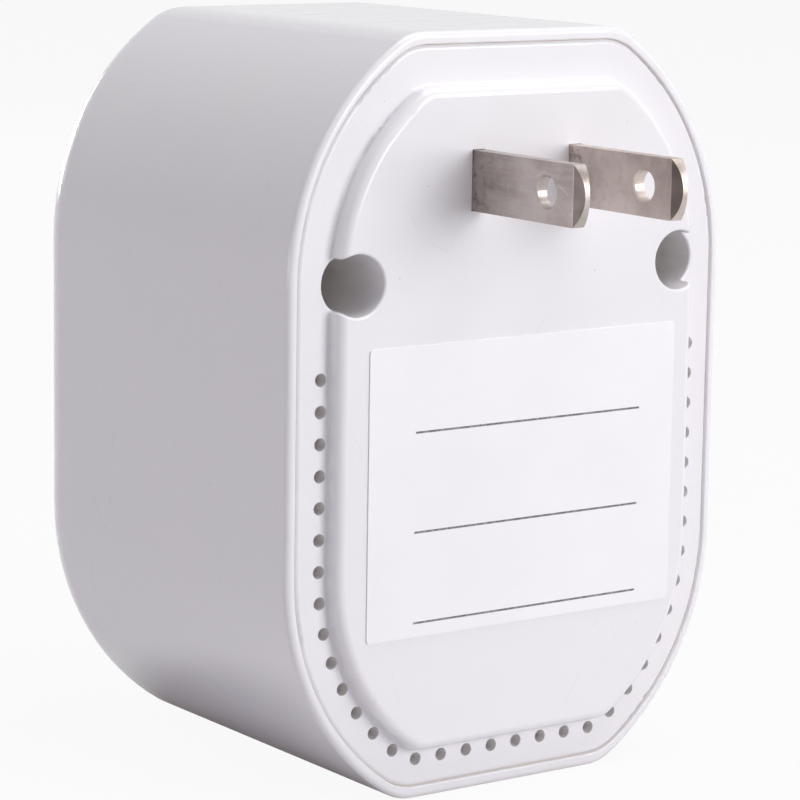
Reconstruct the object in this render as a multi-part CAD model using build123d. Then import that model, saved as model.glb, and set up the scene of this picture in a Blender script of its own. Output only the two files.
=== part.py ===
from build123d import *
import math
import os

# Travel voltage converter: a deep moulded shell with an inset plug-side cover, an autotransformer
# inside, and an output socket in the far wall.
# X runs across, Y through the depth with the plug blades on the -Y side, and Z up. The origin is
# on the underside, in the middle of the width and of the shell's depth. Lengths are millimetres.

# Shell
body_width = 57.0
body_height = 81.5
body_depth = 51.4
shoulder_radius = 29.3
flat_half_width = 13.63
corner_radius = 6.0
far_edge_radius = 5.0
rim_edge_radius = 0.7
rim_mouth_radius = 0.15
wall = 2.4
rim_width = 1.35
seam_gap = 0.08
mouth_corner_radius = 6.6

# Cover: how far its margin lies below the rim and its plateau stands above it, and how much
# further the mouth, the vents and the plateau reach at the sides than an even inset would
cover_thickness = 2.0
margin_drop = 0.12
plateau_proud = 1.9
plateau_inset = 5.7
plateau_corner_radius = 2.8
plateau_edge_radius = 1.0
plateau_foot_radius = 0.3
cover_edge_radius = 0.5
mouth_spread = 0.35
plateau_spread = 0.65
lip_thickness = 1.0
lip_depth = 2.0
lip_gap = 0.15

# Vents along the cover's margin: the first lies below the cover screw, and a row stops short of
# the lower corner
vent_radius = 0.7
vent_pitch = 3.35
vent_inset = 4.4
vent_drop = 9.7
vent_side_gap = 2.2
vent_bottom_gap = 0.4

# Cover screws, deep in their access holes, and the snap hooks at the cover's lower edge
screw_side = 7.3
screw_drop = 25.5
access_radius = 3.25
access_mouth_radius = 0.25
access_depth = 20.0
access_wall = 1.2
seat_thickness = 2.0
screw_radius = 1.5
screw_length = 16.0
screw_head_radius = 2.7
screw_head_height = 2.0
recess_width = 0.8
recess_length = 3.2
recess_depth = 1.0
thread_gap = 0.05
slip_gap = 0.1
post_wall = 2.0
post_web = 1.6
pilot_spare = 1.5
hook_x = 7.0
hook_width = 5.0
hook_reach = 8.0
hook_barb = 1.1
hook_barb_length = 2.4
hook_gap = 0.2

# Plug blades
blade_spacing = 12.7
blade_drop = 15.4
blade_width = 6.35
blade_thickness = 1.5
blade_flat_length = 16.7
blade_length = 18.15
blade_tip_thickness = 0.6
blade_hole_radius = 1.6
blade_hole_bevel = 0.15
blade_hole_reach = 12.4
blade_slit_gap = 0.06
shoulder_width = 9.5
shoulder_depth = 3.0
tail_width = 4.8
tail_length = 12.6

# Clamp behind the blades
clamp_thickness = 5.0
clamp_width = 34.0
clamp_height = 9.6
clamp_corner_radius = 2.0
clamp_screw_x = 13.2
clamp_screw_radius = 1.1
clamp_screw_head_radius = 2.0
clamp_screw_head_height = 1.4
clamp_screw_length = 8.0
clamp_boss_radius = 2.5

# Rating label: its gaps to the shell's sides, the access holes and the plateau's lower edge
label_side_gap = 8.25
label_shift = 0.45
label_top_gap = 3.45
label_base_gap = 12.7
label_thickness = 0.15
label_corner_radius = 0.4

# Transformer core: it fills the room that the shell, the windings and the power light leave
core_base = 10.0
core_side_room = 5.1
winding_room = 4.3
light_room = 8.8
core_hole_radius = 1.75
core_screw_radius = 1.5
core_screw_head_radius = 2.7
core_screw_head_height = 2.0
core_screw_grip = 7.0
core_post_radius = 3.3

# Bobbin and windings
bobbin_wall = 0.9
flange_thickness = 1.0
partition_thickness = 0.8
bobbin_gap = 0.2
bobbin_corner_radius = 0.8
rail_height = 3.0
rail_depth = 5.0
rail_width = 24.0
winding_clearance = 0.05
winding_drop = 0.9
winding_corner_radius = 2.4
tape_thickness = 0.3

# Solder lugs in the bobbin's rail
lug_spacing = 6.0
lug_width = 2.4
lug_thickness = 0.6
lug_height = 8.0
lug_grip = 2.5

# Thermal fuse lying on the winding
fuse_radius = 2.0
fuse_length = 11.0
fuse_edge_radius = 0.4

# Insulated leads
lead_diameter = 1.8
thin_lead_diameter = 1.0
run_share = 0.45
lead_lean = 1.1
lead_drop = 13.5
lead_low = 6.8
lead_bow = 1.2
lead_turn = 4.0

# Output socket in the far wall
socket_drop = 21.5
socket_width = 28.0
socket_tall = 24.0
socket_corner_radius = 9.0
socket_sink = 0.6
socket_gap = 0.15
socket_flange = 1.2
socket_face_thickness = 3.6
slot_width = 2.4
live_slot_tall = 6.9
neutral_slot_tall = 8.3
slot_bevel = 0.5

# Carrier of the contacts, and its screws into the far wall
carrier_half_width = 14.6
carrier_tall = 16.0
carrier_depth = 13.5
ear_thickness = 2.0
ear_radius = 2.2
ear_head_gap = 0.3
ear_screw_rise = 9.2
ear_post_length = 3.8
ear_post_radius = 2.2
ear_screw_radius = 0.9
ear_screw_head_radius = 1.7
ear_screw_head_height = 1.2
ear_screw_length = 5.0

# Shutter and its spring
shutter_thickness = 3.4
shutter_tall = 10.4
shutter_travel = 2.8
shutter_lap = 0.3
shutter_end = 1.2
shutter_foot = 0.5
shutter_window_gap = 0.1
spring_length = 5.0
spring_radius = 1.3
spring_wire = 0.35
spring_pitch = 0.95
septum = 1.0

# Contacts
contact_thickness = 0.6
contact_tall = 7.0
contact_half_width = 2.2
contact_throat = 1.3
contact_flare = 1.5
contact_throat_depth = 2.6
contact_mouth_gap = 0.5
contact_shank = 1.8
contact_tab_length = 4.6
contact_tab_tall = 4.8

# Power light below the socket
lens_radius = 1.6
lens_flange_radius = 2.4
lens_sink = 0.1
lens_length = 6.0
lens_cup_depth = 1.6
lens_ring_wall = 1.1
lens_ring_length = 3.4
light_gap = 0.06
led_radius = 1.45
led_rim_radius = 1.7
led_rim_height = 0.8
led_gap = 0.1
board_width = 14.4
board_tall = 5.6
board_thickness = 1.2
board_gap = 0.9
stake_x = 5.5
stake_radius = 1.4
stake_pin_radius = 0.7
stake_pin_spare = 0.4
resistor_x = 3.0
resistor_width = 1.6
resistor_tall = 3.0
resistor_height = 0.6
thin_lead_x = 4.0

# Every cut runs past the faces it opens by this much
overrun = 1.0

# Places along an edge where its distance from a bore is read
probe_shares = (0, 0.3, 0.7, 1)

# Planes along the depth
rim_face = -body_depth / 2
far_face = body_depth / 2
far_inner = far_face - wall
margin_face = rim_face + margin_drop
plateau_face = rim_face - plateau_proud
ledge = margin_face + cover_thickness
pocket_floor = plateau_face + cover_thickness
seat_face = plateau_face + access_depth
seat_back = seat_face + seat_thickness
shoulder_back = pocket_floor + shoulder_depth
clamp_back = shoulder_back + clamp_thickness
tail_end = shoulder_back + tail_length
socket_front = far_face - socket_sink
socket_back = socket_front - socket_face_thickness
carrier_back = socket_back - carrier_depth
shutter_floor = socket_back - shutter_thickness - 2 * slip_gap
board_front = far_face - lens_sink - lens_length - led_rim_height - led_gap - lens_cup_depth
board_back = board_front - board_thickness

# Outline: how far the shoulders' centres lie inside the shell's sides, top and base
shoulder_x = body_width / 2 - shoulder_radius
shoulder_drop = math.sqrt(shoulder_radius ** 2 - (flat_half_width - shoulder_x) ** 2)
cover_inset = rim_width + seam_gap
pocket_inset = plateau_inset + cover_thickness

# Places across and up that follow from the sizes above
screw_x = body_width / 2 - screw_side
screw_z = body_height - screw_drop
blade_height = body_height - blade_drop
socket_height = body_height - socket_drop
first_vent_height = screw_z - vent_drop
label_width = body_width - 2 * label_side_gap
label_top = screw_z - access_radius - label_top_gap
label_base = plateau_inset + label_base_gap
tube_radius = access_radius + access_wall
post_radius = screw_radius + post_wall
ear_screw_x = carrier_half_width + ear_screw_head_radius + ear_head_gap

# Core in standard proportions: three limbs a sixth, a third and a sixth of its width, and two
# yokes as tall as a fifth of its height
core_half_width = body_width / 2 - wall - core_side_room
limb_width = core_half_width / 3
window_top = socket_height - socket_tall / 2 - socket_flange - light_room
yoke_height = (window_top - core_base) / 4
core_top = window_top + yoke_height
core_back = far_inner - winding_room - limb_width
core_front = -core_back
window_base = core_base + yoke_height
core_hole_x = core_half_width - limb_width / 2
core_hole_heights = (core_base + yoke_height / 2, core_top - yoke_height / 2)
flange_half_width = core_half_width - limb_width - bobbin_gap
flange_half_depth = core_back + limb_width
bobbin_base = window_base + bobbin_gap
bobbin_top = window_top - bobbin_gap
sleeve_half_width = limb_width + bobbin_gap + bobbin_wall
sleeve_half_depth = core_back + bobbin_gap + bobbin_wall
partition_base = (bobbin_base + bobbin_top - partition_thickness) / 2
rail_top = bobbin_top + rail_height
rail_back = rail_depth - flange_half_depth
lug_y = (rail_back - flange_half_depth) / 2
lug_base = rail_top - lug_grip
lug_top = lug_base + lug_height
fuse_y = -(flange_half_depth + fuse_radius + slip_gap)
fuse_x = -1.5 * lug_spacing
fuse_height = (bobbin_base + bobbin_top) / 2
lead_outer_x = flange_half_width + lead_diameter / 2
light_height = bobbin_top + board_gap + board_tall / 2
shutter_window_half = slot_width / 2 + shutter_window_gap
shutter_left = -blade_spacing / 2 - shutter_travel - shutter_window_half - shutter_end
shutter_right = blade_spacing / 2 + slot_width / 2 + shutter_lap + shutter_end / 2
channel_left = shutter_left - slip_gap
channel_right = shutter_right + spring_length
contact_base = carrier_back + contact_thickness / 2
cavity_front = shutter_floor - septum
contact_front = cavity_front - contact_mouth_gap
tab_end = carrier_back - contact_tab_length


# Solids between two planes of the depth, drawn as seen from the plug side with Z up
def slab(sketch, front, back):
    return extrude(Plane.XZ.offset(-back) * sketch, amount=back - front)


def rod(x, z, radius, front, back):
    return slab(Pos(x, z) * Circle(radius), front, back)


def block(left, right, front, back, low, high):
    centre = ((left + right) / 2, (front + back) / 2, (low + high) / 2)
    return Pos(*centre) * Box(right - left, back - front, high - low)


def ring(half_x, half_y, hole_half_x, hole_half_y, outer_corner, hole_corner, low, high):
    outside = RectangleRounded(2 * half_x, 2 * half_y, outer_corner)
    inside = RectangleRounded(2 * hole_half_x, 2 * hole_half_y, hole_corner)
    return extrude(Plane.XY.offset(low) * (outside - inside), amount=high - low)


# Cross recess of a screw head whose top faces the plug side
def recess(x, z, face):
    long_bar = Pos(x, z) * Rectangle(recess_length, recess_width)
    tall_bar = Pos(x, z) * Rectangle(recess_width, recess_length)
    return slab(long_bar + tall_bar, face - overrun, face + recess_depth)


# Screw with its head on the plug side of the seat
def screw(x, z, seat, shank_radius, length, head_radius, head_height):
    head = rod(x, z, head_radius, seat - head_height, seat)
    head = fillet(head.edges().group_by(Axis.Y)[0], head_height / 3)
    body = head + rod(x, z, shank_radius, seat, seat + length)
    share = head_radius / screw_head_radius
    cross = scale(recess(0, 0, 0), by=share)
    return body - Pos(x, seat - head_height, z) * cross


# Shell outline drawn in by an inset: straight sides, large shoulders, and flats above and below.
# A spread moves the sides and shoulders out again.
def outline(inset, corner, spread=0):
    half = body_width / 2 - inset + spread
    centre_x = shoulder_x + spread
    low = inset
    high = body_height - inset
    radius = shoulder_radius - inset
    drop = shoulder_drop - inset
    flat = centre_x + math.sqrt(radius ** 2 - drop ** 2)
    lower_z = shoulder_drop
    upper_z = body_height - shoulder_drop
    half_turn = math.asin(drop / radius) / 2
    mid_x = centre_x + radius * math.cos(half_turn)
    mid_drop = radius * math.sin(half_turn)
    edges = [
        Line((-flat, low), (flat, low)),
        ThreePointArc((flat, low), (mid_x, lower_z - mid_drop), (half, lower_z)),
        Line((half, lower_z), (half, upper_z)),
        ThreePointArc((half, upper_z), (mid_x, upper_z + mid_drop), (flat, high)),
        Line((flat, high), (-flat, high)),
        ThreePointArc((-flat, high), (-mid_x, upper_z + mid_drop), (-half, upper_z)),
        Line((-half, upper_z), (-half, lower_z)),
        ThreePointArc((-half, lower_z), (-mid_x, lower_z - mid_drop), (-flat, low)),
    ]
    face = make_face(Curve() + edges)
    corners = [v for v in face.vertices() if abs(v.X) < (flat + half) / 2]
    return fillet(corners, corner)


# Vents follow the margin down each straight side, round the lower shoulder, and along the bottom
def vent_places():
    places = []
    radius = shoulder_radius - vent_inset
    drop = shoulder_drop - vent_inset
    straight = first_vent_height - shoulder_drop
    side_run = straight + radius * math.asin(drop / radius) - vent_side_gap
    for i in range(int(side_run / vent_pitch) + 1):
        travel = i * vent_pitch
        if travel <= straight:
            x, z = body_width / 2 - vent_inset + mouth_spread, first_vent_height - travel
        else:
            turn = (travel - straight) / radius
            x = shoulder_x + mouth_spread + radius * math.cos(turn)
            z = shoulder_drop - radius * math.sin(turn)
        places += [(-x, z), (x, z)]
    half_run = shoulder_x + math.sqrt(radius ** 2 - drop ** 2) - vent_bottom_gap
    gaps = int(2 * half_run / vent_pitch)
    for i in range(gaps + 1):
        places.append(((i - gaps / 2) * vent_pitch, vent_inset))
    return places


def main_housing():
    shell = slab(outline(0, corner_radius), rim_face, far_face)
    shell = fillet(shell.edges().group_by(Axis.Y)[-1], far_edge_radius)
    shell = fillet(shell.edges().group_by(Axis.Y)[0], rim_edge_radius)
    cavity = slab(outline(wall, corner_radius - wall), rim_face - overrun, far_inner)
    shell -= fillet(cavity.edges().group_by(Axis.Y)[-1], far_edge_radius - wall)
    mouth = outline(rim_width, mouth_corner_radius, mouth_spread)
    shell -= slab(mouth, rim_face - overrun, ledge)
    rim = shell.faces().sort_by(Axis.Y)[0]
    shell = fillet(rim.inner_wires()[0].edges(), rim_mouth_radius)
    shell += housing_posts()
    shell -= housing_holes()
    return shell


# Posts and rings that stand on the far wall, sunk into half its thickness
def housing_posts():
    root = far_inner + wall / 2
    posts = []
    for side in (-1, 1):
        posts.append(rod(side * screw_x, screw_z, post_radius, seat_back, root))
        web_end = body_width / 2 - wall / 2
        left, right = sorted((side * screw_x, side * web_end))
        half_web = post_web / 2
        low, high = screw_z - half_web, screw_z + half_web
        posts.append(block(left, right, seat_back, far_inner, low, high))
        for z in core_hole_heights:
            posts.append(rod(side * core_hole_x, z, core_post_radius, core_back, root))
        for rise in (-ear_screw_rise, ear_screw_rise):
            top = far_inner - ear_post_length
            z = socket_height + rise
            posts.append(rod(side * ear_screw_x, z, ear_post_radius, top, root))
        posts.append(rod(side * stake_x, light_height, stake_radius, board_front, root))
        pin_end = board_back - stake_pin_spare
        posts.append(rod(side * stake_x, light_height, stake_pin_radius, pin_end, board_front))
    ring_radius = lens_flange_radius + light_gap + lens_ring_wall
    posts.append(rod(0, light_height, ring_radius, far_inner - lens_ring_length, root))
    return Part() + posts


# Pilot holes, the socket and lens openings, and the pockets for the snap hooks
def housing_holes():
    pilot_end = seat_face + screw_length + pilot_spare
    holes = []
    for side in (-1, 1):
        x = side * screw_x
        holes.append(rod(x, screw_z, screw_radius + thread_gap, seat_back - overrun, pilot_end))
        for z in core_hole_heights:
            end = core_back + core_screw_grip + pilot_spare
            radius = core_screw_radius + thread_gap
            holes.append(rod(side * core_hole_x, z, radius, core_back - overrun, end))
        for rise in (-ear_screw_rise, ear_screw_rise):
            top = far_inner - ear_post_length
            z = socket_height + rise
            radius = ear_screw_radius + thread_gap
            end = top - ear_thickness + ear_screw_length + thread_gap
            holes.append(rod(side * ear_screw_x, z, radius, top - overrun, end))
        tip = ledge + hook_reach + hook_gap
        heel = tip - hook_barb_length - 2 * hook_gap
        reach = hook_width / 2 + hook_gap
        floor = wall + lip_gap - hook_barb - hook_gap
        x = side * hook_x
        holes.append(block(x - reach, x + reach, heel, tip, floor, wall + overrun))
    opening = RectangleRounded(socket_width, socket_tall, socket_corner_radius)
    opening = Pos(0, socket_height) * opening
    holes.append(slab(opening, socket_back - overrun, far_face + overrun))
    holes.append(rod(0, light_height, lens_radius + light_gap, board_front, far_face + overrun))
    ring_hole = lens_flange_radius + light_gap
    holes.append(rod(0, light_height, ring_hole, board_front, far_inner))
    return Part() + holes


def back_cover():
    edge = outline(cover_inset, mouth_corner_radius - seam_gap, mouth_spread)
    plate = slab(edge, margin_face, ledge)
    plate = fillet(plate.edges().group_by(Axis.Y)[0], cover_edge_radius)
    plateau = outline(plateau_inset, plateau_corner_radius, plateau_spread)
    raised = slab(plateau, plateau_face, ledge)
    raised = fillet(raised.edges().group_by(Axis.Y)[0], plateau_edge_radius)
    cover = plate + raised
    cover = fillet(new_edges(plate, raised, combined=cover), plateau_foot_radius)
    pocket_corner = plateau_corner_radius - cover_thickness
    pocket = outline(pocket_inset, pocket_corner, plateau_spread)
    cover -= slab(pocket, pocket_floor, ledge + overrun)
    cover += cover_lip() + cover_tubes() + cover_bosses()
    for side in (-1, 1):
        cover -= rod(side * screw_x, screw_z, access_radius, plateau_face - overrun, seat_face)
    cover = fillet(access_mouths(cover), access_mouth_radius)
    return cover - cover_holes()


# Edges where the access holes break through the cover's face, foot and margin
def access_mouths(cover):
    mouths = []
    for edge in cover.edges():
        points = [edge @ share for share in probe_shares]
        from_axis = [math.hypot(abs(p.X) - screw_x, p.Z - screw_z) for p in points]
        on_bore = all(abs(distance - access_radius) < thread_gap for distance in from_axis)
        if on_bore and max(p.Y for p in points) < ledge:
            mouths.append(edge)
    return mouths


# Locating lip inside the mouth, with two hooks that reach on along the bottom wall
def cover_lip():
    inset = wall + lip_gap
    outer = outline(inset, corner_radius - inset)
    inset += lip_thickness
    inner = outline(inset, corner_radius - inset)
    lip = slab(outer - inner, ledge - cover_thickness / 2, ledge + lip_depth)
    low = wall + lip_gap
    tip = ledge + hook_reach
    for side in (-1, 1):
        left = side * hook_x - hook_width / 2
        right = left + hook_width
        lip += block(left, right, ledge - cover_thickness / 2, tip, low, low + lip_thickness)
        barb = [(tip - hook_barb_length, low), (tip, low), (tip - hook_barb_length, low - hook_barb)]
        face = make_face(Polyline(*barb, close=True))
        lip += extrude(Plane.YZ.offset(left) * face, amount=hook_width)
    return lip


# Access tubes: they start inside the skin, wherever the skin lies, and end at the posts
def cover_tubes():
    tubes = Part()
    for side in (-1, 1):
        start = plateau_face + cover_thickness / 2
        tubes += rod(side * screw_x, screw_z, tube_radius, start, seat_back)
    outside = outline(0, corner_radius)
    outside -= outline(plateau_inset, plateau_corner_radius, plateau_spread)
    return tubes - slab(outside, plateau_face, margin_face + cover_thickness / 2)


def cover_bosses():
    bosses = Part()
    for side in (-1, 1):
        start = pocket_floor - cover_thickness / 2
        bosses += rod(side * clamp_screw_x, blade_height, clamp_boss_radius, start, shoulder_back)
    return bosses


def cover_holes():
    front = plateau_face - overrun
    vents = Sketch() + [Pos(x, z) * Circle(vent_radius) for x, z in vent_places()]
    holes = Part() + slab(vents, margin_face - overrun, ledge + overrun)
    slit = Rectangle(blade_thickness + 2 * blade_slit_gap, blade_width + 2 * blade_slit_gap)
    for side in (-1, 1):
        x = side * screw_x
        holes += rod(x, screw_z, screw_radius + slip_gap, seat_face, seat_back + overrun)
        holes += slab(Pos(side * blade_spacing / 2, blade_height) * slit, front, ledge)
        pilot_end = clamp_back - clamp_screw_length - thread_gap
        radius = clamp_screw_radius + thread_gap
        x = side * clamp_screw_x
        holes += rod(x, blade_height, radius, pilot_end, shoulder_back + overrun)
    return holes


def rating_label():
    sheet = RectangleRounded(label_width, label_top - label_base, label_corner_radius)
    sheet = Pos(label_shift, (label_top + label_base) / 2) * sheet
    return slab(sheet, plateau_face - label_thickness, plateau_face)


def cover_screws():
    sizes = (screw_radius, screw_length, screw_head_radius, screw_head_height)
    return Compound([screw(side * screw_x, screw_z, seat_face, *sizes) for side in (-1, 1)])


# Plug blade: flat bar with a rounded tip bevelled on both faces, a shoulder and a solder tail
def blade(side):
    half = blade_width / 2
    flat_end = plateau_face - blade_flat_length
    tip = plateau_face - blade_length
    low = (flat_end, -half)
    high = (flat_end, half)
    edges = [
        Line((pocket_floor, -half), low),
        ThreePointArc(low, (tip, 0), high),
        Line(high, (pocket_floor, half)),
        Line((pocket_floor, half), (pocket_floor, -half)),
    ]
    bar = extrude(Plane.YZ * make_face(Curve() + edges), amount=blade_thickness / 2, both=True)
    half_x = blade_thickness / 2
    tip_x = blade_tip_thickness / 2
    side_x = half_x + overrun
    for sign in (-1, 1):
        wedge = [(half_x, flat_end), (tip_x, tip), (tip_x, tip - overrun),
                 (side_x, tip - overrun), (side_x, flat_end)]
        face = make_face(Polyline(*[(sign * x, y) for x, y in wedge], close=True))
        bar -= extrude(face, amount=blade_width, both=True)
    eye = Plane.YZ * Pos(plateau_face - blade_hole_reach, 0) * Circle(blade_hole_radius)
    bar -= extrude(eye, amount=blade_thickness, both=True)
    rims = [edge for edge in bar.edges() if edge.geom_type == GeomType.CIRCLE
            and abs(edge.radius - blade_hole_radius) < thread_gap]
    bar = chamfer(rims, blade_hole_bevel)
    half_shoulder = shoulder_width / 2
    bar += block(-half_x, half_x, pocket_floor, shoulder_back, -half_shoulder, half_shoulder)
    half_tail = tail_width / 2
    bar += block(-half_x, half_x, shoulder_back, tail_end, -half_tail, half_tail)
    return Pos(side * blade_spacing / 2, 0, blade_height) * bar


def blade_clamp():
    sheet = RectangleRounded(clamp_width, clamp_height, clamp_corner_radius)
    slit = Rectangle(blade_thickness + 2 * slip_gap, tail_width + 2 * slip_gap)
    for side in (-1, 1):
        sheet -= Pos(side * blade_spacing / 2, 0) * slit
        sheet -= Pos(side * clamp_screw_x, 0) * Circle(clamp_screw_radius + slip_gap)
    return slab(Pos(0, blade_height) * sheet, shoulder_back, clamp_back)


# The clamp's screws enter from inside the shell, so their heads face the far wall
def clamp_screws():
    screws = []
    for side in (-1, 1):
        x = side * clamp_screw_x
        head_back = clamp_back + clamp_screw_head_height
        head = rod(x, blade_height, clamp_screw_head_radius, clamp_back, head_back)
        head = fillet(head.edges().group_by(Axis.Y)[-1], clamp_screw_head_height / 3)
        shank_end = clamp_back - clamp_screw_length
        screws.append(head + rod(x, blade_height, clamp_screw_radius, shank_end, clamp_back))
    return Compound(screws)


def core_e_stack():
    core = block(-core_half_width, core_half_width, core_front, core_back, core_base, window_top)
    for side in (-1, 1):
        left, right = sorted((side * limb_width, side * (core_half_width - limb_width)))
        core -= block(left, right, core_front - overrun, core_back + overrun,
                      window_base, window_top + overrun)
        core -= rod(side * core_hole_x, core_hole_heights[0], core_hole_radius,
                    core_front - overrun, core_back + overrun)
    return core


def core_i_stack():
    core = block(-core_half_width, core_half_width, core_front, core_back, window_top, core_top)
    for side in (-1, 1):
        core -= rod(side * core_hole_x, core_hole_heights[1], core_hole_radius,
                    core_front - overrun, core_back + overrun)
    return core


def core_screws():
    sizes = (core_screw_radius, core_back - core_front + core_screw_grip, core_screw_head_radius,
             core_screw_head_height)
    places = [(side * core_hole_x, z) for side in (-1, 1) for z in core_hole_heights]
    return Compound([screw(x, z, core_front, *sizes) for x, z in places])


# Bobbin: a sleeve round the tongue with three flanges, and a rail for the lugs above the front
def bobbin():
    hole = (limb_width + bobbin_gap, core_back + bobbin_gap)
    sleeve = (sleeve_half_width, sleeve_half_depth)
    flange = (flange_half_width, flange_half_depth)
    corner = bobbin_corner_radius
    inner = corner / 2
    former = ring(*sleeve, *hole, corner, inner, bobbin_base, bobbin_top)
    former += ring(*flange, *hole, corner, inner, bobbin_base, bobbin_base + flange_thickness)
    former += ring(*flange, *hole, corner, inner, bobbin_top - flange_thickness, bobbin_top)
    former += ring(*flange, *hole, corner, inner, partition_base,
                   partition_base + partition_thickness)
    former += block(-rail_width / 2, rail_width / 2, -flange_half_depth, rail_back,
                    bobbin_top - flange_thickness, rail_top)
    for x in lug_places():
        half = lug_width / 2 + thread_gap
        depth = lug_thickness / 2 + thread_gap
        former -= block(x - half, x + half, lug_y - depth, lug_y + depth,
                        lug_base, rail_top + overrun)
    return former


def lug_places():
    return [(i - 1.5) * lug_spacing for i in range(4)]


def winding_spans():
    gap = winding_clearance
    lower = (bobbin_base + flange_thickness + gap, partition_base - gap)
    upper = (partition_base + partition_thickness + gap, bobbin_top - flange_thickness - gap)
    return lower, upper


def winding(span):
    gap = winding_clearance
    inside = (sleeve_half_width + gap, sleeve_half_depth + gap)
    outside = (flange_half_width - winding_drop, flange_half_depth - winding_drop)
    return ring(*outside, *inside, winding_corner_radius, bobbin_corner_radius + gap, *span)


def winding_tape():
    inside = (flange_half_width - winding_drop, flange_half_depth - winding_drop)
    outside = [half + tape_thickness for half in inside]
    corner = winding_corner_radius + tape_thickness
    return Compound([ring(*outside, *inside, corner, winding_corner_radius, *span)
                     for span in winding_spans()])


def winding_lugs():
    half = lug_width / 2
    depth = lug_thickness / 2
    return Compound([block(x - half, x + half, lug_y - depth, lug_y + depth, lug_base, lug_top)
                     for x in lug_places()])


def thermal_fuse():
    can = Pos(fuse_x, fuse_y, fuse_height) * Cylinder(fuse_radius, fuse_length)
    return fillet(can.edges(), fuse_edge_radius)


# A lead runs straight between its points and turns on the largest arcs that its runs allow
def lead(name, diameter, points):
    vectors = [Vector(*point) for point in points]
    radii = []
    for before, here, after in zip(vectors, vectors[1:], vectors[2:]):
        turn = math.radians((here - before).get_angle(after - here))
        run = min((here - before).length, (after - here).length)
        radii.append(run_share * run / math.tan(turn / 2))
    path = FilletPolyline(*vectors, radius=radii)
    tube = sweep((Plane(path @ 0, z_dir=path % 0) * Circle(diameter / 2)), path)
    section = math.pi * diameter ** 2 / 4
    print(name, "length", round(path.length, 1), "radii", [round(r, 1) for r in radii],
          "volume share", round(tube.volume / (section * path.length), 4))
    return tube


# From the left blade's tail, down beside the winding and up into the fuse
def lead_live_in():
    blade_x = -blade_spacing / 2 - blade_thickness / 2
    tail_y = tail_end - lead_diameter
    low = fuse_height - fuse_length / 2
    return lead("lead_live_in", lead_diameter, [
        (blade_x, tail_y, blade_height),
        (-lead_outer_x + lead_lean, tail_y, blade_height),
        (-lead_outer_x, tail_y - lead_diameter, blade_height - lead_drop),
        (-lead_outer_x, fuse_y, core_top - lead_diameter),
        (-lead_outer_x - lead_bow, fuse_y, fuse_height),
        (-lead_outer_x, fuse_y, low - lead_low),
        (fuse_x, fuse_y, low - lead_low),
        (fuse_x, fuse_y, low),
    ])


# From the fuse up to the first lug
def lead_fuse():
    high = fuse_height + fuse_length / 2
    lug_front = lug_y - lug_thickness / 2
    lug_mid = (rail_top + lug_top) / 2
    return lead("lead_fuse", lead_diameter, [
        (fuse_x, fuse_y, high),
        (fuse_x, fuse_y, lug_mid),
        (fuse_x, lug_front, lug_mid),
    ])


# From the right blade's tail to the last lug
def lead_neutral_in():
    blade_x = blade_spacing / 2 + blade_thickness / 2
    tail_y = tail_end - lead_diameter
    lug_front = lug_y - lug_thickness / 2
    lug_mid = (rail_top + lug_top) / 2
    return lead("lead_neutral_in", lead_diameter, [
        (blade_x, tail_y, blade_height),
        (lead_outer_x - lead_lean, tail_y, blade_height),
        (lead_outer_x, tail_y - lead_diameter, blade_height - lead_drop),
        (-fuse_x, fuse_y, lug_mid + lead_turn),
        (-fuse_x, fuse_y, lug_mid),
        (-fuse_x, lug_front, lug_mid),
    ])


# From an inner lug over the core to a contact's tab
def output_lead(name, side):
    lug_x = side * lug_spacing / 2
    contact_x = side * blade_spacing / 2
    return lead(name, lead_diameter, [
        (lug_x, lug_y, lug_top),
        (lug_x, lug_y, lug_top + lug_height),
        (contact_x, core_front / 2, socket_height),
        (contact_x, tab_end, socket_height),
    ])


# Output socket face: an insert held from inside by its flange, with one slot taller
def socket_face():
    shape = (socket_width - 2 * socket_gap, socket_tall - 2 * socket_gap)
    corner = socket_corner_radius - socket_gap
    plate = slab(Pos(0, socket_height) * RectangleRounded(*shape, corner), socket_back, socket_front)
    plate = fillet(plate.edges().group_by(Axis.Y)[-1], rim_edge_radius / 2)
    flange = RectangleRounded(socket_width + 2 * socket_flange, socket_tall + 2 * socket_flange,
                              socket_corner_radius + socket_flange)
    plate += slab(Pos(0, socket_height) * flange, socket_back, far_inner)
    for x, tall in slot_sizes():
        slot = Pos(x, socket_height) * Rectangle(slot_width, tall)
        plate -= slab(slot, socket_back - overrun, socket_front + overrun)
        mouth = Pos(x, socket_height) * Rectangle(slot_width + 2 * slot_bevel, tall + 2 * slot_bevel)
        funnel = extrude(Plane.XZ.offset(-socket_front) * mouth, amount=slot_bevel, taper=45)
        plate -= funnel
    return plate


def slot_sizes():
    return ((-blade_spacing / 2, live_slot_tall), (blade_spacing / 2, neutral_slot_tall))


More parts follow.
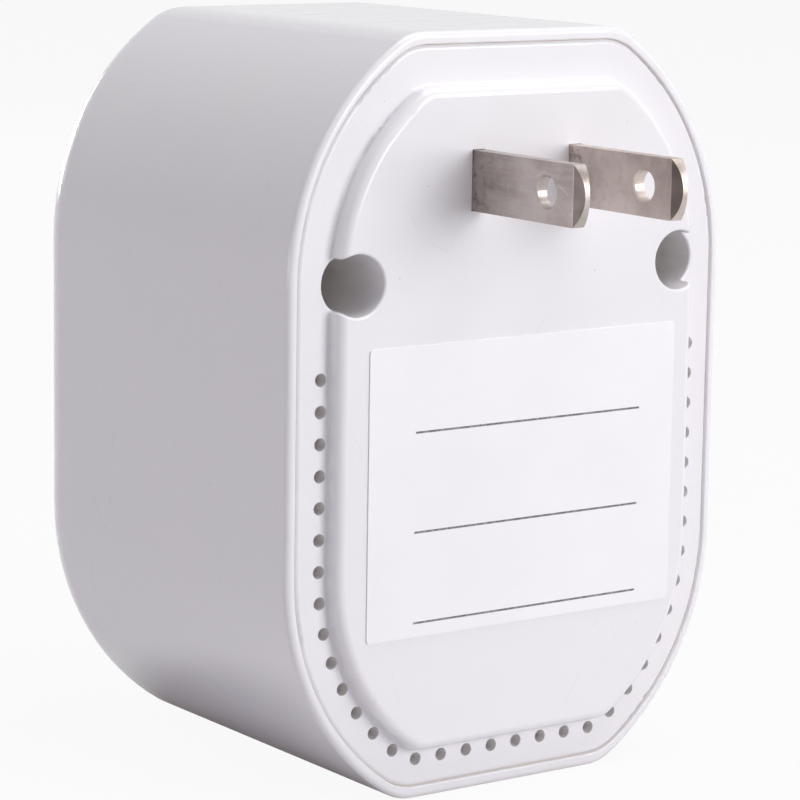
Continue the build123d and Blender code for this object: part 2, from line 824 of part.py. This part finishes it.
def contact_carrier():
    half = carrier_tall / 2
    low, high = socket_height - half, socket_height + half
    body = block(-carrier_half_width, carrier_half_width, carrier_back, socket_back, low, high)
    ear_front = far_inner - ear_post_length - ear_thickness
    ear_back = far_inner - ear_post_length
    for side in (-1, 1):
        for rise in (-ear_screw_rise, ear_screw_rise):
            x, z = side * ear_screw_x, socket_height + rise
            body += rod(x, z, ear_radius, ear_front, ear_back)
            left, right = sorted((side * (carrier_half_width - ear_radius), x))
            inner_z = socket_height + math.copysign(ear_screw_rise - ear_radius, rise)
            bottom, top = sorted((inner_z, z + math.copysign(ear_radius, rise)))
            body += block(left, right, ear_front, ear_back, bottom, top)
            body -= rod(x, z, ear_screw_radius + slip_gap, ear_front - overrun, ear_back + overrun)
    channel_half = shutter_tall / 2 + slip_gap
    body -= block(channel_left, channel_right, shutter_floor, socket_back + overrun,
                  socket_height - channel_half, socket_height + channel_half)
    cavity_half_x = contact_half_width + contact_thickness / 2 + slip_gap
    cavity_half_z = contact_tall / 2 + slip_gap
    for x, tall in slot_sizes():
        body -= block(x - cavity_half_x, x + cavity_half_x, carrier_back - overrun, cavity_front,
                      socket_height - cavity_half_z, socket_height + cavity_half_z)
        window = min(tall, contact_tall) / 2
        body -= block(x - slot_width / 2, x + slot_width / 2, cavity_front - overrun,
                      shutter_floor + overrun, socket_height - window, socket_height + window)
    return body


def carrier_screws():
    seat = far_inner - ear_post_length - ear_thickness
    sizes = (ear_screw_radius, ear_screw_length, ear_screw_head_radius, ear_screw_head_height)
    places = [(side * ear_screw_x, socket_height + rise)
              for side in (-1, 1) for rise in (-ear_screw_rise, ear_screw_rise)]
    return Compound([screw(x, z, seat, *sizes) for x, z in places])


# Shutter: a slider with a window beside each slot and a ramp that a blade pushes aside
def socket_shutter():
    front = shutter_floor + slip_gap
    back = front + shutter_thickness
    half = shutter_tall / 2
    slider = block(shutter_left, shutter_right, front, back,
                   socket_height - half, socket_height + half)
    for x, tall in slot_sizes():
        window_x = x - shutter_travel
        window_half = tall / 2 + shutter_window_gap
        slider -= block(window_x - shutter_window_half, window_x + shutter_window_half,
                        front - overrun, back + overrun,
                        socket_height - window_half, socket_height + window_half)
        ramp_foot = window_x + shutter_window_half
        ramp_top = x + slot_width / 2 + shutter_lap
        points = [(ramp_foot - shutter_window_half, front + shutter_foot),
                  (ramp_foot, front + shutter_foot), (ramp_top, back),
                  (ramp_top, back + overrun), (ramp_foot - shutter_window_half, back + overrun)]
        face = make_face(Polyline(*points, close=True))
        slider -= extrude(Plane.XY.offset(socket_height) * face, amount=window_half, both=True)
    return slider


def shutter_spring():
    middle = shutter_floor + slip_gap + shutter_thickness / 2
    start = shutter_right + spring_wire / 2 + thread_gap
    length = spring_length - spring_wire - 2 * thread_gap
    path = Helix(spring_pitch, length, spring_radius - spring_wire / 2,
                 center=(start, middle, socket_height), direction=(1, 0, 0))
    return sweep(Plane(path @ 0, z_dir=path % 0) * Circle(spring_wire / 2), path)


# Contact: a leaf on each side of the blade, pinched at the throat, and a tab for its lead
def contact(side):
    half_throat = (contact_throat + contact_thickness) / 2
    throat_y = contact_front - contact_throat_depth
    profile = [(contact_half_width, contact_base), (contact_half_width, contact_base + contact_shank),
               (half_throat, throat_y), (contact_flare, contact_front)]
    points = [(-x, y) for x, y in reversed(profile)] + profile
    leaves = trace(Polyline(*points), line_width=contact_thickness)
    half = contact_tall / 2
    spring = extrude(Plane.XY.offset(-half) * leaves, amount=contact_tall)
    tab = block(-contact_thickness / 2, contact_thickness / 2, tab_end, contact_base,
                -contact_tab_tall / 2, contact_tab_tall / 2)
    return Pos(side * blade_spacing / 2, 0, socket_height) * (spring + tab)


# Power light: lens, lamp, board with its resistor, and two thin leads to the contacts' tabs
def indicator_lens():
    front = far_face - lens_sink - lens_length
    stem = rod(0, light_height, lens_radius, front, far_face - lens_sink)
    stem = fillet(stem.edges().group_by(Axis.Y)[-1], lens_radius / 3)
    lens = stem + rod(0, light_height, lens_flange_radius, front, far_inner)
    cup = led_radius + led_gap
    return lens - rod(0, light_height, cup, front - overrun, front + lens_cup_depth)


def indicator_led():
    rim_back = board_front + led_rim_height
    lamp = rod(0, light_height, led_rim_radius, board_front, rim_back)
    tip = far_face - lens_sink - lens_length + lens_cup_depth - led_gap
    body = rod(0, light_height, led_radius, rim_back, tip)
    body = fillet(body.edges().group_by(Axis.Y)[-1], led_radius / 2)
    return lamp + body


def led_board():
    sheet = Rectangle(board_width, board_tall)
    for side in (-1, 1):
        sheet -= Pos(side * stake_x, 0) * Circle(stake_pin_radius + slip_gap)
    return slab(Pos(0, light_height) * sheet, board_back, board_front)


def led_resistor():
    half = resistor_width / 2
    half_tall = resistor_tall / 2
    return block(-resistor_x - half, -resistor_x + half, board_front,
                 board_front + resistor_height, light_height - half_tall,
                 light_height + half_tall)


def led_leads():
    board_y = (board_front + board_back) / 2
    start = light_height + board_tall / 2
    corner = (core_top + socket_height - carrier_tall / 2) / 2
    tab_y = (tab_end + carrier_back) / 2
    leads = []
    for side in (-1, 1):
        tab_low = socket_height - contact_tab_tall / 2
        leads.append(lead("led_lead", thin_lead_diameter, [
            (side * thin_lead_x, board_y, start),
            (side * thin_lead_x, board_y, corner),
            (side * blade_spacing / 2, tab_y, corner),
            (side * blade_spacing / 2, tab_y, tab_low),
        ]))
    return Compound(leads)


lower_span, upper_span = winding_spans()
pieces = {
    "main_housing": main_housing(),
    "back_cover": back_cover(),
    "rating_label": rating_label(),
    "cover_screws": cover_screws(),
    "blade_left": blade(-1),
    "blade_right": blade(1),
    "blade_clamp": blade_clamp(),
    "clamp_screws": clamp_screws(),
    "core_e_stack": core_e_stack(),
    "core_i_stack": core_i_stack(),
    "core_screws": core_screws(),
    "bobbin": bobbin(),
    "common_winding": winding(lower_span),
    "series_winding": winding(upper_span),
    "winding_tape": winding_tape(),
    "winding_lugs": winding_lugs(),
    "thermal_fuse": thermal_fuse(),
    "lead_live_in": lead_live_in(),
    "lead_fuse": lead_fuse(),
    "lead_neutral_in": lead_neutral_in(),
    "lead_tap_out": output_lead("lead_tap_out", -1),
    "lead_common_out": output_lead("lead_common_out", 1),
    "socket_face": socket_face(),
    "contact_carrier": contact_carrier(),
    "contact_left": contact(-1),
    "contact_right": contact(1),
    "carrier_screws": carrier_screws(),
    "socket_shutter": socket_shutter(),
    "shutter_spring": shutter_spring(),
    "indicator_lens": indicator_lens(),
    "indicator_led": indicator_led(),
    "led_board": led_board(),
    "led_resistor": led_resistor(),
    "led_leads": led_leads(),
}

os.makedirs("parts", exist_ok=True)
for name, piece in pieces.items():
    piece.label = name
    export_step(piece, f"parts/{name}.step")
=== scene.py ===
import bpy
import math
from mathutils import Matrix, Vector


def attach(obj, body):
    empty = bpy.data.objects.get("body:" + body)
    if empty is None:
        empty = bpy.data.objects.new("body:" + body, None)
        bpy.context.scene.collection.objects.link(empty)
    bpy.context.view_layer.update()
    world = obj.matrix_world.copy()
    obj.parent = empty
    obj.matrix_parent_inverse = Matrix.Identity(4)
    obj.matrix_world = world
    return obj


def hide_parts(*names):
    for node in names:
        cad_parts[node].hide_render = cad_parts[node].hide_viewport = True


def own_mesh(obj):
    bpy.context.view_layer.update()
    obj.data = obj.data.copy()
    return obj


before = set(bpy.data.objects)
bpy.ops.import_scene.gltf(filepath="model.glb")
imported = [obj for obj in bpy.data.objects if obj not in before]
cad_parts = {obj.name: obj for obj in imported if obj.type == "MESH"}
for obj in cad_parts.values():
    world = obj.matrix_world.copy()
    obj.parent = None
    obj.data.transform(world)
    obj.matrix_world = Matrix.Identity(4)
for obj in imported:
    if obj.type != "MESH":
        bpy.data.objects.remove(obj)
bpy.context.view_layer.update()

# The frame is in metres. X runs across, the plug blades point to -Y, Z is up.
mm = 0.001
blade_root = -27.6 * mm
blade_flat_end = -44.3 * mm
grimy_length = 4.5 * mm

# The label's printed rules
rule_heights = [40.2 * mm, 29.6 * mm, 19.9 * mm]
rule_left = -13.9 * mm
rule_right = 16.0 * mm
rule_weight = 0.22 * mm

# Pitches of what is stacked or wound
sheet_pitch = 0.5 * mm
wire_pitch = 0.45 * mm


# Materials

class Shader:
    """A node tree with one Principled shader and short ways to add and link nodes."""

    def __init__(self, name, base, roughness, metallic=0.0, ior=1.5):
        self.material = bpy.data.materials.new(name)
        self.material.use_nodes = True
        self.tree = self.material.node_tree
        self.surface = self.tree.nodes["Principled BSDF"]
        self.surface.inputs["Base Color"].default_value = (*base, 1)
        self.surface.inputs["Roughness"].default_value = roughness
        self.surface.inputs["Metallic"].default_value = metallic
        self.surface.inputs["IOR"].default_value = ior
        self.place = self.add("ShaderNodeTexCoord").outputs["Object"]
        self.bumps = None

    def add(self, kind, **settings):
        node = self.tree.nodes.new(kind)
        for key, value in settings.items():
            setattr(node, key, value)
        return node

    def link(self, output, socket):
        self.tree.links.new(output, socket)

    def stretched(self, scale):
        node = self.add("ShaderNodeMapping")
        node.inputs["Scale"].default_value = scale
        self.link(self.place, node.inputs["Vector"])
        return node.outputs["Vector"]

    def noise(self, scale, detail=3.0, rough=0.5, stretch=None):
        node = self.add("ShaderNodeTexNoise")
        node.inputs["Scale"].default_value = scale
        node.inputs["Detail"].default_value = detail
        node.inputs["Roughness"].default_value = rough
        self.link(self.stretched(stretch) if stretch else self.place, node.inputs["Vector"])
        return node.outputs["Fac"]

    def cells(self, scale, feature="F1", stretch=None):
        node = self.add("ShaderNodeTexVoronoi", feature=feature)
        node.inputs["Scale"].default_value = scale
        self.link(self.stretched(stretch) if stretch else self.place, node.inputs["Vector"])
        return node.outputs["Distance"]

    def remap(self, value, low, high, out_low=0.0, out_high=1.0):
        node = self.add("ShaderNodeMapRange")
        node.inputs["From Min"].default_value = low
        node.inputs["From Max"].default_value = high
        node.inputs["To Min"].default_value = out_low
        node.inputs["To Max"].default_value = out_high
        self.link(value, node.inputs["Value"])
        return node.outputs["Result"]

    def coordinate(self, axis):
        node = self.add("ShaderNodeSeparateXYZ")
        self.link(self.place, node.inputs["Vector"])
        return node.outputs[axis]

    def facing(self, axis):
        """1 on surfaces square to an axis, 0 on those along it."""
        node = self.add("ShaderNodeSeparateXYZ")
        self.link(self.add("ShaderNodeTexCoord").outputs["Normal"], node.inputs["Vector"])
        return self.math("ABSOLUTE", node.outputs[axis])

    def span(self, value, low, high, soft):
        """1 between two values and 0 outside, with soft edges."""
        rise = self.remap(value, low - soft, low + soft)
        fall = self.remap(value, high - soft, high + soft, 1.0, 0.0)
        return self.both(rise, fall)

    def recess(self, reach):
        """0 in the open, up to 1 deep in a gap or hole narrower than the reach."""
        node = self.add("ShaderNodeAmbientOcclusion", samples=6)
        node.inputs["Distance"].default_value = reach
        return self.math("SUBTRACT", 1.0, node.outputs["AO"])

    def math(self, operation, *values):
        node = self.add("ShaderNodeMath", operation=operation)
        for value, socket in zip(values, node.inputs):
            if isinstance(value, (int, float)):
                socket.default_value = value
            else:
                self.link(value, socket)
        return node.outputs["Value"]

    def both(self, first, second):
        return self.math("MULTIPLY", first, second)

    def blend(self, fac, first, second):
        node = self.add("ShaderNodeMix", data_type="RGBA")
        self.link(fac, node.inputs["Factor"])
        sockets = [s for s in node.inputs if s.type == "RGBA"]
        for value, socket in zip((first, second), sockets):
            if isinstance(value, tuple):
                socket.default_value = (*value, 1)
            else:
                self.link(value, socket)
        return [s for s in node.outputs if s.type == "RGBA"][0]

    def colour(self, value):
        self.link(value, self.surface.inputs["Base Color"])

    def gloss(self, value):
        self.link(value, self.surface.inputs["Roughness"])

    def bump(self, value, depth):
        node = self.add("ShaderNodeBump")
        node.inputs["Strength"].default_value = 1.0
        node.inputs["Distance"].default_value = depth
        self.link(value, node.inputs["Height"])
        if self.bumps:
            self.link(self.bumps, node.inputs["Normal"])
        self.bumps = node.outputs["Normal"]
        self.link(self.bumps, self.surface.inputs["Normal"])


def scaled(colour, share):
    return tuple(min(1.0, channel * share) for channel in colour)


def painted_recess_glow(s):
    """Painted glow: a warm emission that makes the vents and, more, the seams shine, standing in
    for light in those gaps.
    """
    s.surface.inputs["Emission Color"].default_value = (0.93, 0.88, 0.84, 1)
    # Painted glow: the emission strength rises deep in the vents and in the seams
    vents = s.remap(s.recess(1.5 * mm), 0.40, 1.0, 0.0, 0.06)
    seams = s.remap(s.recess(0.3 * mm), 0.45, 1.0, 0.0, 0.05)
    s.link(s.math("ADD", vents, seams), s.surface.inputs["Emission Strength"])


def moulded_plastic(name, base, roughness, painted_recess_shade):
    """Glossy moulded plastic: soft tone drift, faint flow waves, sparse dust, fine scratches, a
    painted warm shade deep in recesses and a painted glow in the vents and seams.
    """
    dust_colour = (0.30, 0.28, 0.27)
    scratch_colour = (0.45, 0.43, 0.43)
    s = Shader(name, base, roughness)
    cooler = (base[0] * 0.985, base[1] * 0.99, base[2])
    body = s.blend(s.remap(s.noise(45), 0.35, 0.65), cooler, base)
    dust = s.remap(s.cells(260), 0.018, 0.034, 0.30, 0.0)
    body = s.blend(dust, body, dust_colour)
    edges = s.cells(150, "DISTANCE_TO_EDGE", stretch=(1.0, 1.0, 0.5))
    scratch = s.both(s.remap(edges, 0.0, 0.010, 0.10, 0.0), s.remap(s.noise(190, 1), 0.60, 0.66))
    body = s.blend(scratch, body, scratch_colour)
    # Painted shade: a warm darker tone blended in deep in recesses and gaps
    body = s.blend(s.remap(s.recess(9 * mm), 0.70, 0.95), body, painted_recess_shade)
    s.colour(body)
    painted_recess_glow(s)
    s.gloss(s.remap(s.noise(350, 4), 0.3, 0.7, roughness * 0.88, roughness * 1.15))
    s.bump(s.noise(70, 2), 0.03 * mm)
    s.bump(s.noise(1800, 2), 0.002 * mm)
    return s.material


def label_film():
    """Smooth white sticker with a fine satin tooth and three printed rules on an empty field."""
    ink = (0.07, 0.07, 0.08)
    ink_edge = 0.02 * mm
    rule_end = 0.05 * mm
    s = Shader("label_film", (0.90, 0.89, 0.92), 0.38, ior=1.48)
    film = s.blend(s.remap(s.noise(90), 0.35, 0.65), (0.885, 0.872, 0.905), (0.905, 0.892, 0.925))
    across, height = s.coordinate("X"), s.coordinate("Z")
    thin_ink = s.remap(s.noise(2500), 0.3, 0.6, 0.72, 0.95)
    printed = s.both(s.span(across, rule_left, rule_right, rule_end), thin_ink)
    for rule in rule_heights:
        line = s.span(height, rule - rule_weight / 2, rule + rule_weight / 2, ink_edge)
        film = s.blend(s.both(line, printed), film, ink)
    s.colour(film)
    s.gloss(s.remap(s.noise(700), 0.3, 0.7, 0.33, 0.45))
    s.bump(s.noise(2600), 0.003 * mm)
    return s.material


def blade_plate(name, dark, light):
    """Nickel plate on a punched blade: satin, grained along its length, scratched and stained,
    with a painted dark reflection on the tip's bevelled facets.
    """
    grain_colour = (0.58, 0.54, 0.53)
    grime_colour = (0.11, 0.085, 0.075)
    scratch_colour = (0.66, 0.62, 0.60)
    painted_reflection_colour = (0.085, 0.07, 0.065)
    s = Shader(name, light, 0.36, metallic=1.0)
    along = s.coordinate("Y")
    body = s.blend(s.remap(s.noise(150, 4, 0.55), 0.36, 0.64), dark, light)
    grain = s.noise(1500, 4, 0.7, stretch=(1.0, 0.08, 1.0))
    body = s.blend(s.remap(grain, 0.40, 0.64, 0.0, 0.30), body, grain_colour)
    near_root = s.remap(along, blade_root - grimy_length, blade_root, 0.12, 0.75)
    grime = s.both(s.remap(s.noise(900, 5, 0.7), 0.50, 0.64), near_root)
    body = s.blend(grime, body, grime_colour)
    edges = s.cells(420, "DISTANCE_TO_EDGE", stretch=(1.0, 0.30, 1.0))
    scratch = s.both(s.remap(edges, 0.0, 0.010, 0.45, 0.0), s.remap(s.noise(240, 2), 0.52, 0.62))
    body = s.blend(scratch, body, scratch_colour)
    # Painted reflection: the tip's facets, which face across the blade, are darkened as though
    # they mirrored a dark room
    tip = s.remap(along, blade_flat_end - 0.1 * mm, blade_flat_end, 1.0, 0.0)
    painted_reflection = s.both(tip, s.remap(s.facing("X"), 0.7, 0.8, 0.0, 0.85))
    s.colour(s.blend(painted_reflection, body, painted_reflection_colour))
    s.gloss(s.remap(s.noise(600, 4, 0.6), 0.3, 0.7, 0.30, 0.50))
    s.bump(grain, 0.004 * mm)
    s.bump(s.noise(380, 4), 0.008 * mm)
    return s.material


def plain_metal(name, base, roughness):
    s = Shader(name, base, roughness, metallic=1.0)
    s.colour(s.blend(s.remap(s.noise(300, 4, 0.6), 0.35, 0.65), scaled(base, 0.8), base))
    s.gloss(s.remap(s.noise(800), 0.3, 0.7, roughness * 0.8, roughness * 1.25))
    s.bump(s.noise(1500), 0.006 * mm)
    return s.material


def plain_plastic(name, base, roughness):
    s = Shader(name, base, roughness)
    s.colour(s.blend(s.remap(s.noise(180), 0.35, 0.65), scaled(base, 0.93), base))
    s.gloss(s.remap(s.noise(700), 0.3, 0.7, roughness * 0.85, roughness * 1.15))
    s.bump(s.noise(1200), 0.01 * mm)
    return s.material


def stripes(s, pitch, axis, depth, sharp):
    """Height that repeats along one axis, as stacked sheets or laid wire do."""
    node = s.add("ShaderNodeTexWave", wave_type="BANDS", bands_direction=axis)
    # One band of the wave texture spans 2 pi / 20 of its scaled coordinate
    node.inputs["Scale"].default_value = math.pi / 10 / pitch
    node.inputs["Distortion"].default_value = 0.0
    s.link(s.place, node.inputs["Vector"])
    band = node.outputs["Fac"]
    s.bump(s.remap(band, 0.0, sharp), depth)
    return band


def laminations():
    """Varnished sheet steel seen edge on, with some rust."""
    gap_colour, sheet_colour = (0.05, 0.05, 0.05), (0.24, 0.24, 0.25)
    rust_colour = (0.22, 0.12, 0.07)
    s = Shader("laminations", sheet_colour, 0.42, metallic=0.7)
    band = stripes(s, sheet_pitch, "Y", 0.04 * mm, sharp=0.35)
    sheets = s.blend(s.remap(band, 0.0, 0.3), gap_colour, sheet_colour)
    rust = s.remap(s.noise(220, 5, 0.6), 0.58, 0.72, 0.0, 0.6)
    s.colour(s.blend(rust, sheets, rust_colour))
    return s.material


def enamelled_wire():
    """A layer of enamelled copper wire, wound round the Z axis."""
    gap_colour, wire_colour = (0.22, 0.08, 0.03), (0.66, 0.30, 0.13)
    s = Shader("enamelled_wire", wire_colour, 0.25, metallic=0.9)
    band = stripes(s, wire_pitch, "Z", 0.12 * mm, sharp=0.8)
    s.colour(s.blend(s.remap(band, 0.0, 0.5), gap_colour, wire_colour))
    return s.material


def clear_red(name, base):
    s = Shader(name, base, 0.12)
    s.surface.inputs["Transmission Weight"].default_value = 0.6
    s.colour(s.blend(s.remap(s.noise(500, 2), 0.3, 0.7), base, scaled(base, 1.2)))
    s.bump(s.noise(900, 2), 0.005 * mm)
    return s.material


# Paint the CAD nodes

def paint(names, material):
    for name in names:
        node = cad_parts[name]
        node.data.materials.clear()
        node.data.materials.append(material)


def paint_outside():
    # The last colour given to each plastic is the painted shade in its recesses
    paint(["main_housing", "back_cover"],
          moulded_plastic("shell_plastic", (0.845, 0.832, 0.862), 0.18, (0.84, 0.80, 0.76)))
    paint(["socket_face"],
          moulded_plastic("socket_plastic", (0.80, 0.79, 0.82), 0.24, (0.78, 0.74, 0.70)))
    paint(["rating_label"], label_film())
    # Painted light: both blades are the same nickel plate, and the right one's copy is lighter and
    # warmer than the left's for how the key falls on them
    paint(["blade_left"],
          blade_plate("blade_plate_left_shaded_copy", (0.32, 0.275, 0.255), (0.475, 0.42, 0.395)))
    paint(["blade_right"],
          blade_plate("blade_plate_right_lit_copy", (0.48, 0.405, 0.365), (0.74, 0.65, 0.60)))
    paint(["indicator_lens"], clear_red("red_lens", (0.70, 0.04, 0.03)))


def paint_inside():
    paint(["cover_screws", "clamp_screws", "core_screws", "carrier_screws"],
          plain_metal("zinc_plate", (0.62, 0.62, 0.64), 0.3))
    paint(["winding_lugs"], plain_metal("tinned_lug", (0.72, 0.71, 0.68), 0.35))
    paint(["thermal_fuse"], plain_metal("fuse_can", (0.74, 0.72, 0.66), 0.28))
    paint(["contact_left", "contact_right"],
          plain_metal("contact_strip", (0.80, 0.60, 0.25), 0.25))
    paint(["shutter_spring"], plain_metal("spring_wire", (0.60, 0.60, 0.60), 0.25))
    paint(["core_e_stack", "core_i_stack"], laminations())
    paint(["common_winding", "series_winding"], enamelled_wire())
    paint(["blade_clamp", "contact_carrier"],
          plain_plastic("natural_nylon", (0.78, 0.76, 0.70), 0.45))
    paint(["bobbin"], plain_plastic("black_nylon", (0.03, 0.03, 0.032), 0.4))
    paint(["winding_tape"], plain_plastic("polyester_tape", (0.75, 0.55, 0.08), 0.2))
    paint(["socket_shutter"], plain_plastic("acetal", (0.60, 0.60, 0.63), 0.4))
    paint(["lead_live_in", "lead_fuse"], plain_plastic("brown_vinyl", (0.13, 0.045, 0.02), 0.35))
    paint(["lead_neutral_in"], plain_plastic("blue_vinyl", (0.02, 0.08, 0.33), 0.35))
    paint(["lead_tap_out", "led_leads"], plain_plastic("black_vinyl", (0.02, 0.02, 0.02), 0.35))
    paint(["lead_common_out"], plain_plastic("white_vinyl", (0.75, 0.75, 0.72), 0.35))
    paint(["led_board"], plain_plastic("green_laminate", (0.03, 0.18, 0.07), 0.3))
    paint(["led_resistor"], plain_plastic("resistor_chip", (0.03, 0.03, 0.035), 0.5))
    paint(["indicator_led"], clear_red("red_epoxy", (0.60, 0.05, 0.04)))


# The shutter's return spring, which on the real plug shortens towards its fixed end as the shutter
# opens; here a copy of its CAD mesh, attached to the converter body

def return_spring():
    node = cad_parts["shutter_spring"]
    spring = bpy.data.objects.new("return_spring", node.data)
    bpy.context.collection.objects.link(spring)
    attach(spring, "converter")
    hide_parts("shutter_spring")
    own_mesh(spring)


paint_outside()
paint_inside()
return_spring()


# Stage: a floor and a world that the camera and mirrors see as plain white

floor_half = 3.0
floor_colour = (0.64, 0.62, 0.64, 1)
floor_white_share = 0.93
shadow_reach = 24 * mm
clear_reach = 38 * mm


def combine(tree, operation, first, second):
    node = tree.nodes.new("ShaderNodeMath")
    node.operation = operation
    tree.links.new(first, node.inputs[0])
    tree.links.new(second, node.inputs[1])
    return node.outputs["Value"]


def seen_by_eye(tree, mirrored=None):
    """1 on rays that show a surface, straight or by mirror or glass, 0 on rays that light one."""
    path = tree.nodes.new("ShaderNodeLightPath")
    glossy = path.outputs["Is Glossy Ray"]
    if mirrored:
        glossy = combine(tree, "MULTIPLY", glossy, mirrored)
    camera, glass = path.outputs["Is Camera Ray"], path.outputs["Is Transmission Ray"]
    return combine(tree, "MAXIMUM", combine(tree, "MAXIMUM", camera, glass), glossy)


def clear_of_object(tree):
    """0 on the floor beside the object, where its shadow lies, and 1 further out."""
    place = tree.nodes.new("ShaderNodeTexCoord").outputs["Object"]
    reach = tree.nodes.new("ShaderNodeVectorMath")
    reach.operation = "LENGTH"
    tree.links.new(place, reach.inputs[0])
    fade = tree.nodes.new("ShaderNodeMapRange")
    fade.interpolation_type = "SMOOTHSTEP"
    fade.inputs["From Min"].default_value = shadow_reach
    fade.inputs["From Max"].default_value = clear_reach
    tree.links.new(reach.outputs["Value"], fade.inputs["Value"])
    return fade.outputs["Result"]


def stage_material():
    material = bpy.data.materials.new("stage_white")
    material.use_nodes = True
    tree = material.node_tree
    tree.nodes.clear()
    add = tree.nodes.new
    diffuse = add("ShaderNodeBsdfDiffuse")
    diffuse.inputs["Color"].default_value = floor_colour
    white = add("ShaderNodeEmission")
    share = add("ShaderNodeMath")
    share.operation = "MULTIPLY"
    share.inputs[1].default_value = floor_white_share
    mix = add("ShaderNodeMixShader")
    output = add("ShaderNodeOutputMaterial")
    tree.links.new(seen_by_eye(tree, clear_of_object(tree)), share.inputs[0])
    tree.links.new(share.outputs["Value"], mix.inputs["Fac"])
    tree.links.new(diffuse.outputs["BSDF"], mix.inputs[1])
    tree.links.new(white.outputs["Emission"], mix.inputs[2])
    tree.links.new(mix.outputs["Shader"], output.inputs["Surface"])
    return material


def build_floor():
    mesh = bpy.data.meshes.new("floor")
    corners = [(-1, -1), (1, -1), (1, 1), (-1, 1)]
    mesh.from_pydata([(x * floor_half, y * floor_half, 0) for x, y in corners], [], [(0, 1, 2, 3)])
    mesh.materials.append(stage_material())
    floor = bpy.data.objects.new("floor", mesh)
    bpy.context.collection.objects.link(floor)


# Light: a weak white world, a broad key from the right and above, and weaker boxes round it

sky_light = 0.22
sky_tint = (1.0, 0.965, 1.0, 1)
horizon_white = 0.98
upper_white = 0.79
fade_height = 0.045

middle = (0, 0, 45 * mm)
neutral = (1.0, 1.0, 1.0)
softboxes = [
    # name, place, width, height, watts, tint
    ("key_front", (0.36, -0.80, 0.28), 0.48, 0.48, 4.65, neutral),
    ("top_box", (0.12, -0.14, 0.75), 0.5, 0.5, 3.3, neutral),
    ("left_fill", (-0.75, 0.1, 0.03), 0.5, 0.2, 1.3, (1.0, 0.955, 1.0)),
    ("back_fill", (-0.02, 0.80, 0.14), 0.30, 0.16, 2.2, neutral),
]


def build_world():
    world = bpy.data.worlds.new("studio")
    bpy.context.scene.world = world
    world.use_nodes = True
    tree = world.node_tree
    tree.nodes.clear()
    add = tree.nodes.new
    lit = add("ShaderNodeBackground")
    lit.inputs["Color"].default_value = sky_tint
    lit.inputs["Strength"].default_value = sky_light
    # White at the horizon, so that no line shows there, and a light grey above it
    seen = add("ShaderNodeBackground")
    seen.inputs["Color"].default_value = (1, 1, 1, 1)
    height = add("ShaderNodeSeparateXYZ")
    fade = add("ShaderNodeMapRange")
    fade.inputs["From Max"].default_value = fade_height
    fade.inputs["To Min"].default_value = horizon_white
    fade.inputs["To Max"].default_value = upper_white
    mix = add("ShaderNodeMixShader")
    output = add("ShaderNodeOutputWorld")
    tree.links.new(add("ShaderNodeTexCoord").outputs["Generated"], height.inputs["Vector"])
    tree.links.new(height.outputs["Z"], fade.inputs["Value"])
    tree.links.new(fade.outputs["Result"], seen.inputs["Strength"])
    tree.links.new(seen_by_eye(tree), mix.inputs["Fac"])
    tree.links.new(lit.outputs["Background"], mix.inputs[1])
    tree.links.new(seen.outputs["Background"], mix.inputs[2])
    tree.links.new(mix.outputs["Shader"], output.inputs["Surface"])


def softbox(name, place, width, height, watts, tint):
    data = bpy.data.lights.new(name, "AREA")
    data.color = tint
    data.shape = "RECTANGLE"
    data.size = width
    data.size_y = height
    data.energy = watts
    lamp = bpy.data.objects.new(name, data)
    lamp.location = place
    aim = Vector(middle) - Vector(place)
    lamp.rotation_euler = aim.to_track_quat("-Z", "Y").to_euler()
    bpy.context.collection.objects.link(lamp)


# Camera, as fitted to the blades' and the outline's edges in the photograph

picture_side = 800
focal_pixels = 3360.8
sensor_width = 36.0
azimuth = math.radians(-35.658)
elevation = math.radians(9.878)
roll = math.radians(-0.886)
distance = 346.73 * mm
target = Vector((-15.904, -27.6, 43.81)) * mm


def build_camera():
    data = bpy.data.cameras.new("camera")
    data.sensor_fit = "HORIZONTAL"
    data.sensor_width = sensor_width
    data.lens = sensor_width * focal_pixels / picture_side
    data.clip_start = 0.01
    data.clip_end = 20
    camera = bpy.data.objects.new("camera", data)
    back = Vector((math.sin(azimuth) * math.cos(elevation),
                   -math.cos(azimuth) * math.cos(elevation), math.sin(elevation)))
    right = Vector((math.cos(azimuth), math.sin(azimuth), 0))
    up = back.cross(right)
    turned_right = math.cos(roll) * right - math.sin(roll) * up
    turned_up = math.sin(roll) * right + math.cos(roll) * up
    matrix = Matrix((turned_right, turned_up, back)).transposed().to_4x4()
    matrix.translation = target + back * distance
    camera.matrix_world = matrix
    bpy.context.collection.objects.link(camera)
    bpy.context.scene.camera = camera


build_floor()
build_world()
for box in softboxes:
    softbox(*box)
build_camera()
bpy.context.scene.view_settings.view_transform = "Standard"
